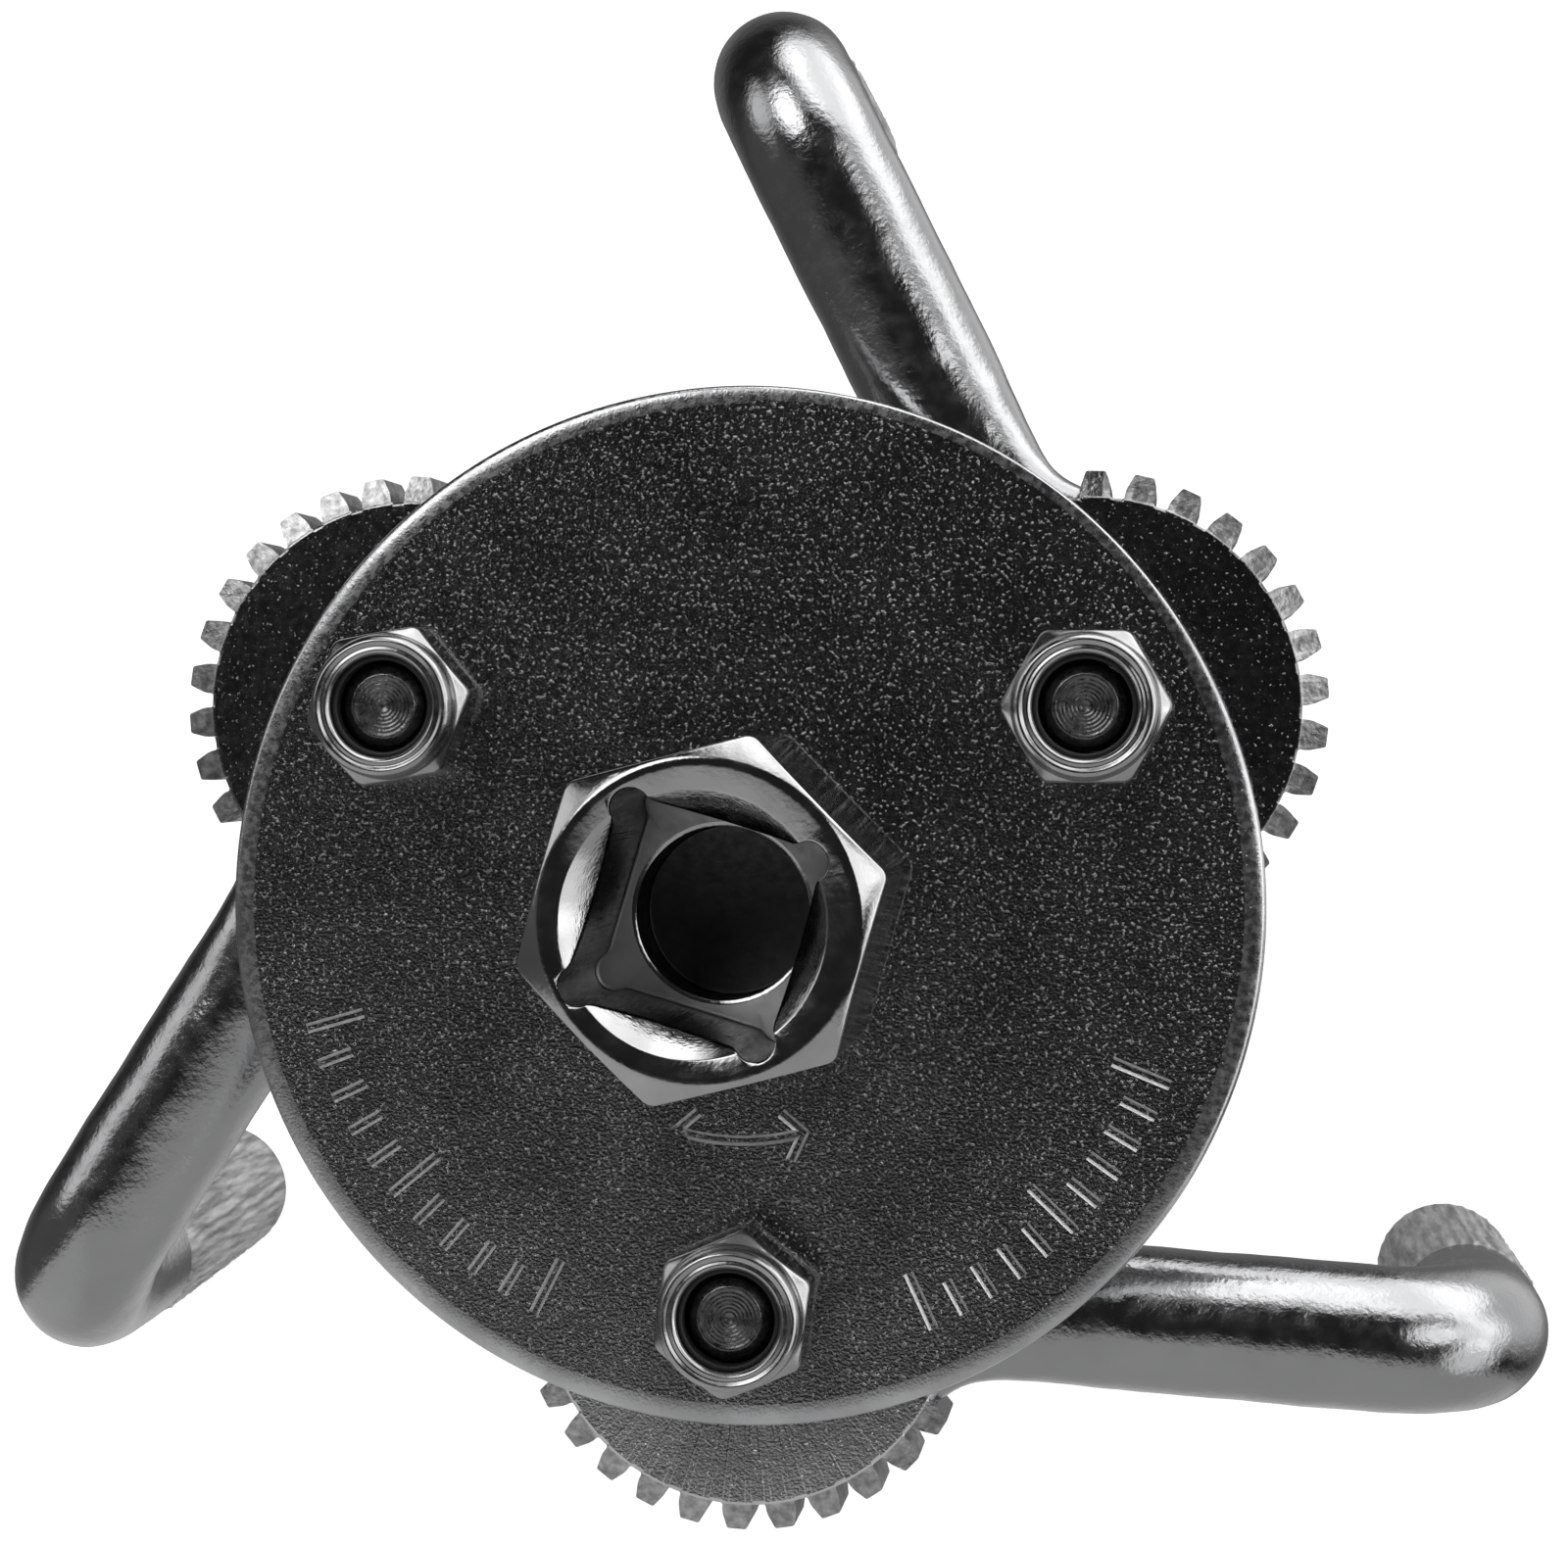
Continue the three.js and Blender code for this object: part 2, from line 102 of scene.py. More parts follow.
# Gears of module 1, so a pitch radius is half the number of teeth.
SUN_TEETH = 24
LEG_TEETH = 30  # on a full circle
LEG_TOOTH_COUNT = 26  # of those that are cut; the leg takes the place of the others
PRESSURE_ANGLE = 14.5
ADDENDUM = 0.8
DEDENDUM = 1.0
PROFILE_SHIFT = 0.2  # outwards on the legs, inwards on the sun gear
TOOTH_RELIEF = 0.16  # taken off each tooth's thickness, for play
TOOTH_GIFT = 0.45  # thickness that each leg tooth gains and each sun tooth gives up
FIRST_TOOTH = 28.9  # from the leg's own axis to its first tooth
LEG_SWING = 87.0  # from straight outwards to where a leg is stored
MESH_PHASE = math.fmod(LEG_SWING - FIRST_TOOTH - 180, 360 / LEG_TEETH)

BAR_RADIUS = 5.0
BAR_AXIS = 5.4  # height of the bar's centre line
LEG_REACH = 50.2  # pivot to the foot's centre line
BEND_RADIUS = 8.0
FOOT_LEANS = [3.0, 8.0, 1.0]  # how far each foot is bent past square
FOOT_LENGTH = 27.0  # from the end of the bend
KNURL_RADIUS = 5.2

DRIVE_HEX = 21.0
DRIVE_HEX_TURN = 14.4
DRIVE_BASE = 14.3
DRIVE_FACE_RADIUS = 10.2
SOCKET_SQUARE = 13.2
SOCKET_TURN = 28.4
SOCKET_DEPTH = 13.6
SOCKET_MOUTH = 9.75  # radius at the top of the countersink
SOCKET_THROAT = 8.45  # radius where the countersink gets steep
SOCKET_MOUTH_DROP = 0.25
EAR_RADIUS = 1.3  # the round reliefs in the socket's corners
EAR_REACH = 8.15
PILOT_RADIUS = 5.75
PILOT_DEPTH = 18.6

BOLT_HEX = 10.0  # the nuts have the same size across flats
NUT_TURNS = [0.0, 10.0, 23.0]

# ---- Small differences from the CAD model ------------------------------------------------

KNURL_DROP = 5.6  # from the end of the bend to the knurl
SOCKET_OFFSET = (-0.4, -0.15)  # the socket was cut slightly off the spindle's axis
# Each leg and each toothed head stands a little differently inside its play, in degrees.
LEG_PLAY = [-0.5, 0.2, -0.6]
HEAD_PLAY = [0.6, 0.0, -0.6]

# ---- Mesh building -----------------------------------------------------------------------


def share(cut, side):
    """Which part of a side a corner's rounding takes; never more than nearly half."""
    length = np.linalg.norm(side, axis=-1, keepdims=True)
    return np.minimum(cut / np.maximum(length, 1e-9), 0.45)


def round_corners(points, cuts):
    """Rounds the inner corners of polylines.

    points is an array of (corners, columns, coordinates), and cuts has one length per corner.
    """
    rows = [points[0]]
    for before, corner, after, cut in zip(points[:-2], points[1:-1], points[2:], cuts[1:-1]):
        if cut == 0:
            rows.append(corner)
            continue
        start = corner + (before - corner) * share(cut, before - corner)
        end = corner + (after - corner) * share(cut, after - corner)
        steps = 3 if cut < 0.5 else 7
        for t in np.linspace(0, 1, steps + 1):
            rows.append((1 - t) ** 2 * start + 2 * t * (1 - t) * corner + t * t * end)
    rows.append(points[-1])
    return rows


def shell(rings, capped=False):
    """Quads between successive closed rings, each an (n, 3) array."""
    count = len(rings[0])
    here = np.arange(count)
    after = (here + 1) % count
    faces = []
    for level in range(len(rings) - 1):
        low = level * count
        high = low + count
        faces += np.stack([low + here, low + after, high + after, high + here], 1).tolist()
    if capped:
        faces.append(here[::-1].tolist())
        faces.append((here + (len(rings) - 1) * count).tolist())
    return np.concatenate(rings), faces


def revolve(profile, angles, offset=(0, 0)):
    """Turns (radius, height, cut) corners about Z. Cut is how far a corner's rounding reaches.

    Radius and height may vary with the angle. A fourth number on a corner says which part of the
    sideways offset it takes.
    """
    around = np.zeros(len(angles))
    points, cuts = [], []
    for radius, height, cut, *aside in profile:
        shift = aside[0] if aside else 0
        points.append(np.stack([around + radius, around + height, around + shift], -1))
        cuts.append(cut)
    rings = []
    for row in round_corners(points, cuts):
        x = row[:, 0] * np.cos(np.radians(angles)) + row[:, 2] * offset[0]
        y = row[:, 0] * np.sin(np.radians(angles)) + row[:, 2] * offset[1]
        rings.append(np.stack([x, y, row[:, 1]], -1))
    return shell(rings)


def angle_grid(step, corners=(), reach=3.0, fine=0.5):
    """Angles all round, closer together near each of the given corners."""
    spread = np.arange(-reach, reach + fine / 2, fine)
    near = [corner + spread for corner in corners]
    every = np.concatenate([np.arange(0, 360, step), *near]) % 360
    return np.unique(np.round(every, 3))


def place(pivot, turn):
    """From a piece's own axes, in millimetres, to the model's frame, in metres."""
    spot = Matrix.Translation(Vector((pivot[0], pivot[1], 0)) * MM)
    return spot @ Matrix.Rotation(math.radians(turn), 4, "Z") @ Matrix.Scale(MM, 4)


def make_mesh(name, shells, materials, where, paint=None):
    """One object from shells. paint picks a face's material from its centre and its normal."""
    verts, faces = [], []
    for points, quads in shells:
        first = len(verts)
        verts += points.tolist()
        faces += [[first + i for i in quad] for quad in quads]
    mesh = bpy.data.meshes.new(name)
    mesh.from_pydata(verts, [], faces)
    tidy = bmesh.new()
    tidy.from_mesh(mesh)
    bmesh.ops.remove_doubles(tidy, verts=tidy.verts, dist=0.004)
    bmesh.ops.dissolve_degenerate(tidy, edges=tidy.edges, dist=0.001)
    bmesh.ops.recalc_face_normals(tidy, faces=tidy.faces)
    if paint:
        for face in tidy.faces:
            face.material_index = paint(face.calc_center_median(), face.normal)
    tidy.to_mesh(mesh)
    tidy.free()
    mesh.transform(where)
    for material in materials:
        mesh.materials.append(material)
    mesh.shade_smooth()
    piece = bpy.data.objects.new(name, mesh)
    bpy.context.scene.collection.objects.link(piece)
    return piece


def finish_piece(piece, node, body, sharp=40.0):
    """Smooth shading with sharp edges, and what the piece rides on and replaces."""
    piece.data.set_sharp_from_angle(angle=math.radians(sharp))
    weighted = piece.modifiers.new("weighted_normals", "WEIGHTED_NORMAL")
    weighted.keep_sharp = True
    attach(piece, body)
    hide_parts(node)
    return piece


# ---- Outlines that vary round the axis ---------------------------------------------------


def polygon_radius(angles, sides, across, corner, rounding):
    """Radius of a regular polygon with rounded corners, one of them at the given angle."""
    half = 180 / sides
    off = np.radians(np.abs((angles - corner + half) % (2 * half) - half))
    flat = across / 2 / np.cos(math.radians(half) - off)
    centre = (across / 2 - rounding) / math.cos(math.radians(half))
    rise = rounding * math.sin(math.radians(half))
    limit = math.atan2(rise, centre + rounding * math.cos(math.radians(half)))
    inside = np.maximum(rounding**2 - (centre * np.sin(off)) ** 2, 0)
    return np.where(off < limit, centre * np.cos(off) + np.sqrt(inside), flat)


def socket_radius(angles, blend=1.0):
    """Square socket whose corners open into round reliefs, blended into the flats."""
    off = np.radians(np.abs((angles - SOCKET_TURN + 45) % 90 - 45))
    half = SOCKET_SQUARE / 2
    ear = EAR_REACH / math.sqrt(2)
    rise = half + blend - ear
    run = math.sqrt((EAR_RADIUS + blend) ** 2 - rise**2)
    blend_reach = math.hypot(half + blend, ear - run)
    blend_off = math.pi / 4 - math.atan2(ear - run, half + blend)
    joint = EAR_RADIUS / (EAR_RADIUS + blend)
    ear_end = math.pi / 4 - math.atan2(ear - run * joint, ear + rise * joint)
    blend_end = math.pi / 4 - math.atan2(ear - run, half)
    in_ear = np.maximum(EAR_RADIUS**2 - (EAR_REACH * np.sin(off)) ** 2, 0)
    in_blend = np.maximum(blend**2 - (blend_reach * np.sin(blend_off - off)) ** 2, 0)
    ear_radius = EAR_REACH * np.cos(off) + np.sqrt(in_ear)
    blend_radius = blend_reach * np.cos(blend_off - off) - np.sqrt(in_blend)
    flat_radius = half / np.cos(math.pi / 4 - off)
    return np.where(off < ear_end, ear_radius, np.where(off < blend_end, blend_radius, flat_radius))


def hex_chamfer(radius, face_radius, face_height, slope=30.0):
    """Height of a turned chamfer where it crosses the given radius."""
    return face_height - (radius - face_radius) * math.tan(math.radians(slope))


def tooth_half_angle(teeth, shift, gift, radius):
    """Half the angle that a tooth fills at a radius, in degrees."""
    pitch_radius = teeth / 2
    pressure = math.radians(PRESSURE_ANGLE)
    base = pitch_radius * math.cos(pressure)
    here = math.acos(base / max(radius, base))
    thickness = math.pi / 2 + 2 * shift * math.tan(pressure) + gift - TOOTH_RELIEF
    involute = (math.tan(pressure) - pressure) - (math.tan(here) - here)
    return math.degrees(thickness / 2 / pitch_radius + involute)


def gear_outline(teeth, shift, gift, centres, plain=()):
    """Angles and radii of a toothed outline; plain angles carry the root circle between teeth."""
    pitch_radius = teeth / 2
    root = pitch_radius + shift - DEDENDUM
    tip = pitch_radius + shift + ADDENDUM
    radii = [root, root + 0.45, pitch_radius, tip]
    points, cuts = [], []
    for centre in centres:
        flank = [(centre - tooth_half_angle(teeth, shift, gift, r), r) for r in radii]
        back = [(2 * centre - angle, r) for angle, r in reversed(flank)]
        points += flank + back
        cuts += [0.18, 0, 0, 0.13, 0.13, 0, 0, 0.18]
    points += [(angle, root) for angle in plain]
    cuts += [0.0] * len(plain)
    arc = math.radians(1) * pitch_radius
    flat = np.array([[(angle * arc, r)] for angle, r in points])
    rows = np.array(round_corners(list(flat), cuts))[:, 0]
    angles = rows[:, 0] / arc
    keep = np.concatenate([[True], np.diff(angles) > 1e-4])
    return angles[keep], rows[keep, 1]


# ---- Materials ---------------------------------------------------------------------------


class Shader:
    """A metal or plastic built from noise: tone, roughness and relief at two or three scales."""

    def __init__(self, name, metallic=1.0):
        self.material = bpy.data.materials.new(name)
        self.material.use_nodes = True
        self.tree = self.material.node_tree
        self.surface = self.tree.nodes["Principled BSDF"]
        self.surface.inputs["Metallic"].default_value = metallic
        self.coordinates = self.tree.nodes.new("ShaderNodeTexCoord").outputs["Object"]
        self.relief = None

    def noise(self, size, detail=3.0, stretch=(1, 1, 1), shift=0.0):
        """Noise whose features are about the given size in millimetres."""
        mapping = self.tree.nodes.new("ShaderNodeMapping")
        mapping.inputs["Scale"].default_value = [1 / (size * MM) * s for s in stretch]
        mapping.inputs["Location"].default_value = (shift, shift * 2, -shift)
        texture = self.tree.nodes.new("ShaderNodeTexNoise")
        texture.inputs["Scale"].default_value = 1.0
        texture.inputs["Detail"].default_value = detail
        self.tree.links.new(self.coordinates, mapping.inputs["Vector"])
        self.tree.links.new(mapping.outputs["Vector"], texture.inputs["Vector"])
        return texture.outputs["Fac"]

    def ramp(self, value, low, high, start, end):
        node = self.tree.nodes.new("ShaderNodeMapRange")
        node.inputs["From Min"].default_value = low
        node.inputs["From Max"].default_value = high
        node.inputs["To Min"].default_value = start
        node.inputs["To Max"].default_value = end
        self.tree.links.new(value, node.inputs["Value"])
        return node.outputs["Result"]

    def tone(self, value, dark, light):
        """Colour between two three-part greys."""
        node = self.tree.nodes.new("ShaderNodeMix")
        node.data_type = "RGBA"
        colours = [socket for socket in node.inputs if socket.type == "RGBA"]
        colours[0].default_value = (*dark, 1)
        colours[1].default_value = (*light, 1)
        self.tree.links.new(value, node.inputs["Factor"])
        result = next(socket for socket in node.outputs if socket.type == "RGBA")
        self.tree.links.new(result, self.surface.inputs["Base Color"])

    def roughness(self, value):
        self.tree.links.new(value, self.surface.inputs["Roughness"])

    def bump(self, height, depth, strength=1.0):
        """Relief of the given depth in millimetres, added to any relief already there."""
        node = self.tree.nodes.new("ShaderNodeBump")
        node.inputs["Strength"].default_value = strength
        node.inputs["Distance"].default_value = depth * MM
        self.tree.links.new(height, node.inputs["Height"])
        if self.relief:
            self.tree.links.new(self.relief, node.inputs["Normal"])
        self.relief = node.outputs["Normal"]
        self.tree.links.new(self.relief, self.surface.inputs["Normal"])


def grey(level, tint=0.0):
    """A grey of the given level, a little cooler with a positive tint."""
    return (level * (1 - tint), level, level * (1 + tint))


def blasted_steel(name, level, grain, fleck, dull=0.11):
    """Dark plated steel, blasted to a fine grain in which the odd fleck glitters. Its level sets
    the grey: the rim's and heads' copies are made lighter or darker as painted light and shade.
    """
    shader = Shader(name)
    cloud = shader.noise(7, 4)
    shader.tone(shader.ramp(cloud, 0.35, 0.65, 0, 1), grey(level, 0.01), grey(level * 1.4, 0.01))
    shader.roughness(shader.ramp(shader.noise(0.5, 2, shift=3), 0.3, 0.7, dull, dull * 2))
    shader.bump(shader.noise(0.2, 2.0), grain)
    flecks = shader.ramp(shader.noise(0.27, 1.5, shift=11), fleck, fleck + 0.14, 0, 1)
    shader.bump(flecks, 0.042)
    shader.bump(shader.noise(0.5, 2, shift=8), 0.008)
    shader.bump(shader.noise(9, 2, shift=5), 0.06, 0.6)
    return shader.material


def polished_chrome():
    """Bright plating over a turned surface, with faint tool lines and handling marks."""
    shader = Shader("polished_chrome")
    shader.tone(shader.noise(3.5, 3), grey(0.40), grey(0.62))
    smear = shader.noise(1.6, 4, (1, 1, 0.3), shift=2)
    shader.roughness(shader.ramp(smear, 0.35, 0.75, 0.07, 0.2))
    shader.bump(shader.noise(0.35, 2, (1, 1, 3)), 0.008)
    shader.bump(shader.noise(1.1, 2, shift=9), 0.015)
    shader.bump(shader.noise(3, 2, shift=4), 0.04, 0.6)
    return shader.material


def forged_nickel():
    """Dark nickel on a forged bar, with the pebbled skin that forging leaves under the plating."""
    shader = Shader("forged_black_nickel")
    shader.tone(shader.noise(6, 4), grey(0.40, 0.01), grey(0.50, 0.01))
    shader.roughness(shader.ramp(shader.noise(1.2, 3, shift=1), 0.35, 0.7, 0.13, 0.24))
    shader.bump(shader.noise(0.8, 3), 0.03)
    shader.bump(shader.noise(0.32, 2, shift=6), 0.022)
    shader.bump(shader.noise(3.5, 2, shift=7), 0.04, 0.7)
    return shader.material


def rolled_knurl():
    """The feet: light, dull metal over rolled ridges."""
    shader = Shader("rolled_knurl_steel", metallic=0.55)
    streak = shader.noise(0.6, 2, (1, 1, 0.09))
    shader.tone(shader.ramp(streak, 0.34, 0.66, 0, 1), grey(0.26), grey(0.60))
    shader.roughness(shader.ramp(shader.noise(0.8, 3, shift=2), 0.3, 0.7, 0.34, 0.5))
    shader.bump(shader.noise(0.4, 2), 0.03)
    return shader.material


def broached_teeth():
    """Tooth faces: bare blasted metal with cutter marks, brighter than the plated disc."""
    shader = Shader("broached_tooth_steel")
    shader.tone(shader.ramp(shader.noise(0.6, 4, shift=4), 0.3, 0.7, 0, 1), grey(0.28), grey(0.68))
    shader.roughness(shader.ramp(shader.noise(0.6, 3), 0.3, 0.7, 0.26, 0.42))
    shader.bump(shader.noise(0.3, 2, shift=2), 0.035)
    return shader.material


def hobbed_gear():
    shader = Shader("hobbed_gear_steel")
    shader.tone(shader.noise(1.2, 3), grey(0.22), grey(0.34))
    shader.roughness(shader.ramp(shader.noise(0.8, 3, shift=3), 0.3, 0.7, 0.3, 0.5))
    shader.bump(shader.noise(0.4, 2, (1, 1, 0.3)), 0.02)
    return shader.material


def bright_zinc():
    """Bright zinc plating with the soft unevenness of barrel plating."""
    shader = Shader("bright_zinc")
    shader.tone(shader.noise(1.8, 3), grey(0.36), grey(0.56))
    shader.roughness(shader.ramp(shader.noise(0.9, 3, shift=2), 0.3, 0.7, 0.12, 0.28))
    shader.bump(shader.noise(0.9, 3), 0.02)
    shader.bump(shader.noise(2.5, 2, shift=5), 0.05, 0.6)
    return shader.material


def turned_bolt():
    """Dark bolt steel; its end shows the marks of the parting tool."""
    shader = Shader("turned_bolt_steel")
    shader.tone(shader.noise(0.6, 3), grey(0.06), grey(0.30))
    shader.roughness(shader.ramp(shader.noise(0.5, 3, shift=2), 0.3, 0.7, 0.2, 0.4))
    shader.bump(shader.noise(0.35, 3), 0.04)
    return shader.material


def milled_seat():
    """The socket's floor, milled and only thinly plated."""
    shader = Shader("milled_socket_floor")
    shader.tone(shader.noise(2.0, 3), grey(0.6), grey(0.8))
    shader.roughness(shader.ramp(shader.noise(1.0, 3, shift=2), 0.3, 0.7, 0.45, 0.6))
    shader.bump(shader.noise(0.5, 3), 0.01)
    return shader.material


def socket_wall_shade():
    """Walls of the square socket, dull from the broach and painted dark as painted shade down in
    the socket.
    """
    shader = Shader("socket_wall_painted_shade")
    shader.tone(shader.noise(1.6, 3), grey(0.10), grey(0.18))
    shader.roughness(shader.ramp(shader.noise(0.9, 3, (3, 3, 0.4), shift=2), 0.3, 0.7, 0.14, 0.3))
    shader.bump(shader.noise(0.4, 2, (3, 3, 0.3)), 0.012)
    return shader.material


def drilled_bore_painted_shade():
    """The pilot hole, painted dark as painted shade deep in the hole."""
    shader = Shader("drilled_bore_painted_shade")
    shader.tone(shader.noise(1.0, 3), grey(0.10), grey(0.18))
    shader.roughness(shader.ramp(shader.noise(0.8, 3, shift=2), 0.3, 0.7, 0.35, 0.55))
    shader.bump(shader.noise(0.4, 2, (1, 1, 3)), 0.02)
    return shader.material


def engraved_edge():
    """Walls of the engraved strokes: bare metal where the tool cut through the dark plating,
    painted brighter still as a painted highlight along the strokes' edges.
    """
    shader = Shader("engraved_edge_steel")
    shader.tone(shader.noise(0.4, 4), grey(0.55), grey(0.9))
    shader.roughness(shader.ramp(shader.noise(0.4, 3, shift=2), 0.3, 0.7, 0.35, 0.6))
    shader.bump(shader.noise(0.2, 3), 0.03)
    return shader.material


def spring_steel():
    shader = Shader("oiled_spring_steel")
    shader.tone(shader.noise(1.0, 3), grey(0.10), grey(0.18))
    shader.roughness(shader.ramp(shader.noise(0.7, 3, shift=2), 0.3, 0.7, 0.25, 0.45))
    shader.bump(shader.noise(0.4, 3), 0.01)
    return shader.material


def black_nylon():
    shader = Shader("black_nylon", metallic=0.0)
    shader.tone(shader.noise(1.0, 3), grey(0.010), grey(0.022))
    shader.roughness(shader.ramp(shader.noise(0.6, 3, shift=2), 0.3, 0.7, 0.4, 0.65))
    shader.bump(shader.noise(0.3, 3), 0.01)
    return shader.material


PLATE_METAL = blasted_steel("blasted_plate_steel", 0.27, 0.035, 0.62)
# The rim's copy of the plate steel is lighter: a painted highlight for the light the rolled rim
# catches.
RIM_HIGHLIGHT_METAL = blasted_steel("rim_steel_painted_highlight", 0.5, 0.016, 0.76, dull=0.17)
# The heads' blasted faces, one copy per leg, are lighter or darker to paint in how much light falls
# on each head: painted light and shade.
DISC_METALS_LIT_AND_SHADED = [
    blasted_steel("head_steel_painted_light_1", 0.22, 0.016, 0.67),
    blasted_steel("head_steel_painted_light_2", 0.28, 0.016, 0.67),
    blasted_steel("head_steel_painted_light_3", 0.62, 0.016, 0.67),
]
CHROME = polished_chrome()
NICKEL = forged_nickel()
KNURL_METAL = rolled_knurl()
TOOTH_METAL = broached_teeth()
GEAR_METAL = hobbed_gear()
ZINC = bright_zinc()
BOLT_METAL = turned_bolt()
SEAT_METAL = milled_seat()
# The pilot hole's dark metal is painted shade.
BORE_SHADE_METAL = drilled_bore_painted_shade()
# The socket walls' dark metal is painted shade.
SOCKET_WALL_SHADE_METAL = socket_wall_shade()
ENGRAVED = engraved_edge()
SPRING = spring_steel()
NYLON = black_nylon()

# ---- Plate with its engraved marks -------------------------------------------------------

MARK_DEPTH = 0.2
MARK_FLARE = 0.2  # how much wider a stroke's half gets over its depth
MARK_WIDTH = 0.3
MARK_RADII = (27.2, 31.0)
MARK_SPANS = ((196, 243), (-65, -22))  # where the two scales start and end, in degrees
MARKS_PER_SCALE = 11
SHORT_MARK = 1.6  # how much shorter the marks between every fifth are
ARROW_RADIUS = 15.8
ARROW_ENDS = (-106, -74)
RIM_NARROW = 58.0  # the direction in which the rim rolls over least
BORE_RADIUS = 7.15  # round the spindle
BOLT_HOLE_RADIUS = 3.3


def groove(path, width=MARK_WIDTH):
    """A cutter for one engraved stroke along 2-D points: a trough that widens towards the top."""
    path = np.array(path, float)
    along = np.gradient(path, axis=0)
    along /= np.linalg.norm(along, axis=1, keepdims=True)
    across = np.stack([-along[:, 1], along[:, 0]], -1)
    extended = path.copy()
    extended[0] -= along[0] * width / 2
    extended[-1] += along[-1] * width / 2
    low, high = PLATE_TOP - MARK_DEPTH, PLATE_TOP + MARK_DEPTH
    rings = []
    for point, side in zip(extended, across):
        wide = width / 2 + 2 * MARK_FLARE
        section = [(-width / 2, low), (width / 2, low), (wide, high), (-wide, high)]
        rings.append(np.array([[*(point + side * reach), z] for reach, z in section]))
    return shell(rings, capped=True)


def spoke(angle, inner, outer):
    angle = math.radians(angle)
    direction = np.array([math.cos(angle), math.sin(angle)])
    return [direction * inner, direction * outer]


def arc(start, end, radius):
    angles = np.radians(np.linspace(start, end, 24))
    return np.stack([radius * np.cos(angles), radius * np.sin(angles)], -1)


def arrow_head(angle, radius, way):
    """Two short strokes that meet on the arc and open against the way it points."""
    tip = spoke(angle, radius, radius)[0]
    behind = angle - way * 4.2
    return [[spoke(behind, radius + step, radius)[0], tip] for step in (-1.5, 1.5)]


def engraved_strokes():
    """Graduation marks and a two-way arrow in place of any lettering."""
    strokes = []
    inner, outer = MARK_RADII
    for start, end in MARK_SPANS:
        for index, angle in enumerate(np.linspace(start, end, MARKS_PER_SCALE)):
            strokes.append(spoke(angle, inner if index % 5 == 0 else inner + SHORT_MARK, outer))
    strokes.append(arc(*ARROW_ENDS, ARROW_RADIUS))
    strokes += arrow_head(ARROW_ENDS[1], ARROW_RADIUS, 1)
    strokes += arrow_head(ARROW_ENDS[0], ARROW_RADIUS, -1)
    return strokes


def plate_profile(angles):
    """The blanked edge rolls over gently, and less so on one side."""
    off = (angles - RIM_NARROW + 180) % 360 - 180
    roll = 0.85 - 0.5 * np.exp(-((off / 38) ** 2))
    return [
        (0, PLATE_BASE, 0),
        (PLATE_RADIUS - 0.3, PLATE_BASE, 0.1),
        (PLATE_RADIUS, PLATE_BASE + 0.3, 0.1),
        (PLATE_RADIUS, PLATE_TOP - 0.3 * roll, 0.6),
        (PLATE_RADIUS - roll, PLATE_TOP, 0.9),
        (26, PLATE_TOP, 0),
        (13, PLATE_TOP, 0),
        (0, PLATE_TOP, 0),
    ]


def cut(piece, cutter):
    """Takes a cutter's shape out of a piece, and the cutter away."""
    change = piece.modifiers.new("cut", "BOOLEAN")
    change.operation = "DIFFERENCE"
    change.solver = "EXACT"
    change.object = cutter
    depsgraph = bpy.context.evaluated_depsgraph_get()
    mesh = bpy.data.meshes.new_from_object(piece.evaluated_get(depsgraph))
    piece.modifiers.clear()
    piece.data = mesh
    bpy.data.objects.remove(cutter)


def make_plate():
    """The plate: bored, engraved, with its stroke walls painted bright (cut metal and a painted
    highlight) and its rim painted lighter as a painted highlight.
    """
    angles = angle_grid(1.5)
    disc = revolve(plate_profile(angles), angles)
    plate = make_mesh("top_plate_fine", [disc], [PLATE_METAL], place((0, 0), 0))
    low, high = PLATE_BASE - 1, PLATE_TOP + 1
    holes = [((0, 0), BORE_RADIUS)] + [(pivot, BOLT_HOLE_RADIUS) for pivot in PIVOTS]
    for spot, radius in holes:
        rod = [(0, low, 0), (radius, low, 0), (radius, high, 0), (0, high, 0)]
        cut(plate, make_mesh("hole", [revolve(rod, angle_grid(5))], [PLATE_METAL], place(spot, 0)))
    for stroke in engraved_strokes():
        cut(plate, make_mesh("stroke", [groove(stroke)], [PLATE_METAL], place((0, 0), 0)))
    plate.data.materials.append(ENGRAVED)
    plate.data.materials.append(RIM_HIGHLIGHT_METAL)
    for face in plate.data.polygons:
        x, y, z = np.array(face.center) / MM
        radius = math.hypot(x, y)
        below_face = PLATE_TOP - MARK_DEPTH < z < PLATE_TOP - 0.01
        # Stroke walls get the bright steel: cut metal and a painted highlight.
        if below_face and 12 < radius < 33 and face.normal.z < 0.95:
            face.material_index = 1
        # The rolled rim gets the lighter steel: a painted highlight.
        if radius > PLATE_RADIUS - 1.5 and PLATE_BASE + 0.01 < z < PLATE_TOP - 0.004:
            face.material_index = 2
    finish_piece(plate, "top_plate", "plate", sharp=28)


# ---- Drive -----------------------------------------------------------------------------


def mouth_height(radius):
    """The socket's mouth: a shallow cone at first, and a 45 degree countersink inside it."""
    shallow = SOCKET_MOUTH_DROP * (SOCKET_MOUTH - radius) / (SOCKET_MOUTH - SOCKET_THROAT)
    steep = SOCKET_MOUTH_DROP + SOCKET_THROAT - radius
    return DRIVE_TOP - np.where(radius > SOCKET_THROAT, shallow, steep)


